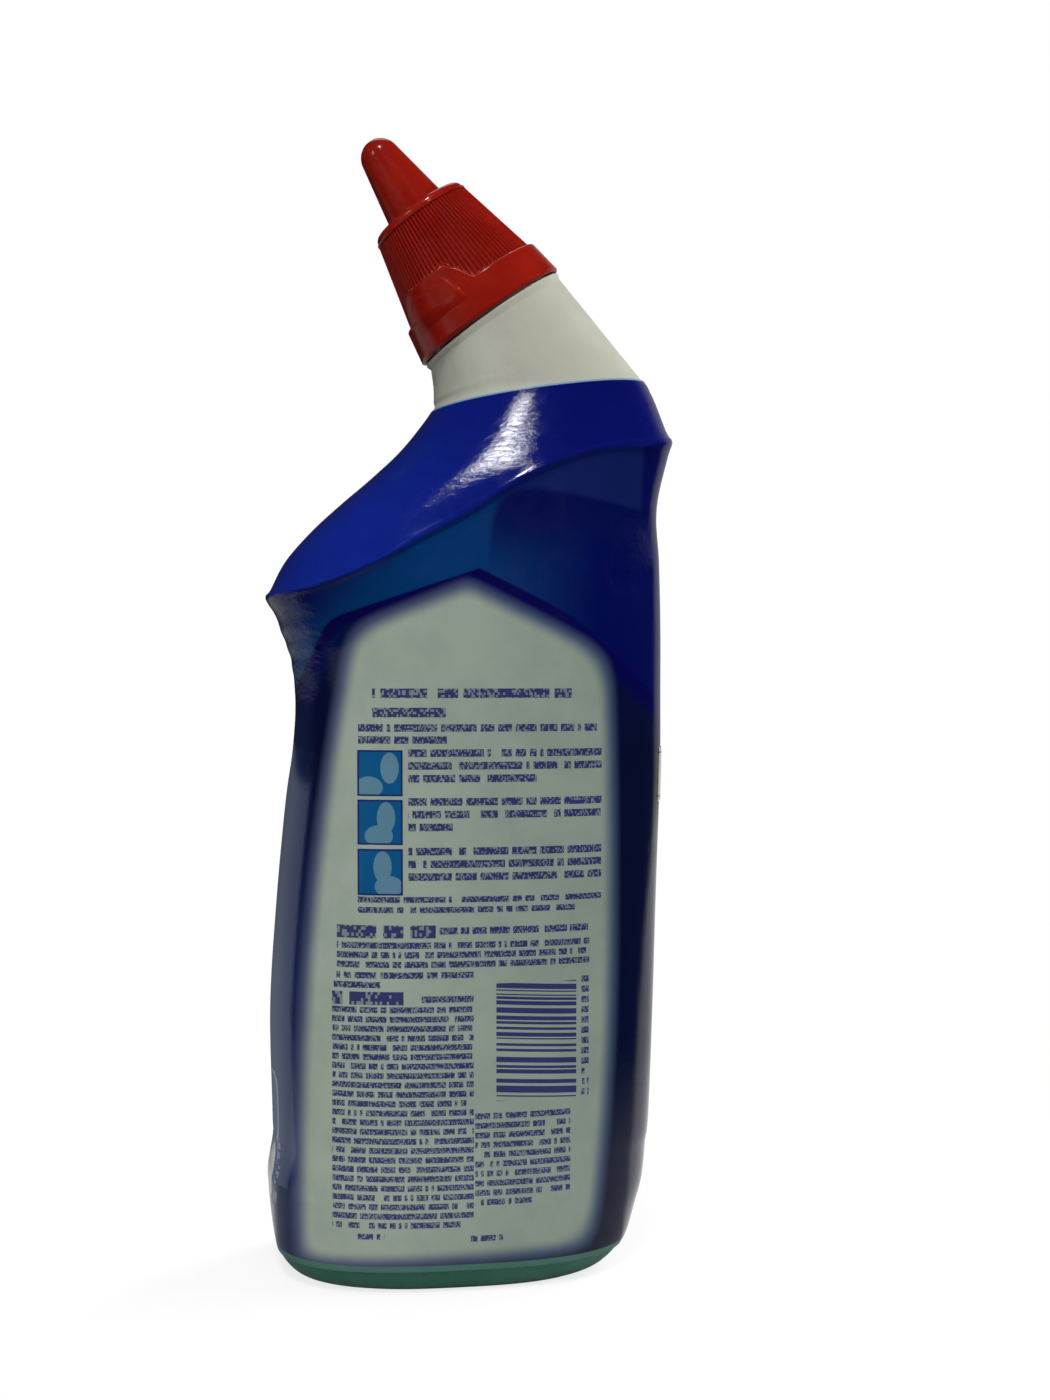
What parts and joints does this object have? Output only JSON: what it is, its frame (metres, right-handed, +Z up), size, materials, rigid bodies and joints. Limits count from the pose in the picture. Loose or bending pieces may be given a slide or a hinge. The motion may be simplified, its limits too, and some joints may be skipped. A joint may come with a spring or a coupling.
{
  "type": "toilet cleaner bottle",
  "caption": "Angle-necked blow-moulded cleaner bottle with a full shrink sleeve, sealed contents and a ribbed squeeze-and-turn spout cap.",
  "frame": {"origin": "centre of the bounding box in plan, on the plane that the sole stands on", "axes": "+Z up, +X towards the high shoulder, away from the spout, -Y the print panel that the picture shows"},
  "size_m": [0.0972, 0.0622, 0.2675],
  "materials": {
    "natural_hdpe": "satin translucent",
    "shrink_film": "glossy",
    "sticker_paper": "matte paper",
    "cleaner": "clear liquid",
    "cap_red_inner": "glossy",
    "cap_red": "glossy"
  },
  "bodies": {
    "bottle_body": {"bottle": "natural_hdpe", "sleeve_label": "shrink_film", "price_sticker": "sticker_paper", "cleaner_liquid": "cleaner", "closure_base": "cap_red_inner"},
    "cap_body": {"twist_cap": "cap_red"}
  },
  "joints": [
    {"name": "cap_twist", "type": "hinge", "parent": "bottle_body", "child": "cap_body", "pos_m": [0.00495, 0, 0.2258], "axis": [-0.5764, 0, 0.8171], "range_deg": [0, 90]}
  ]
}
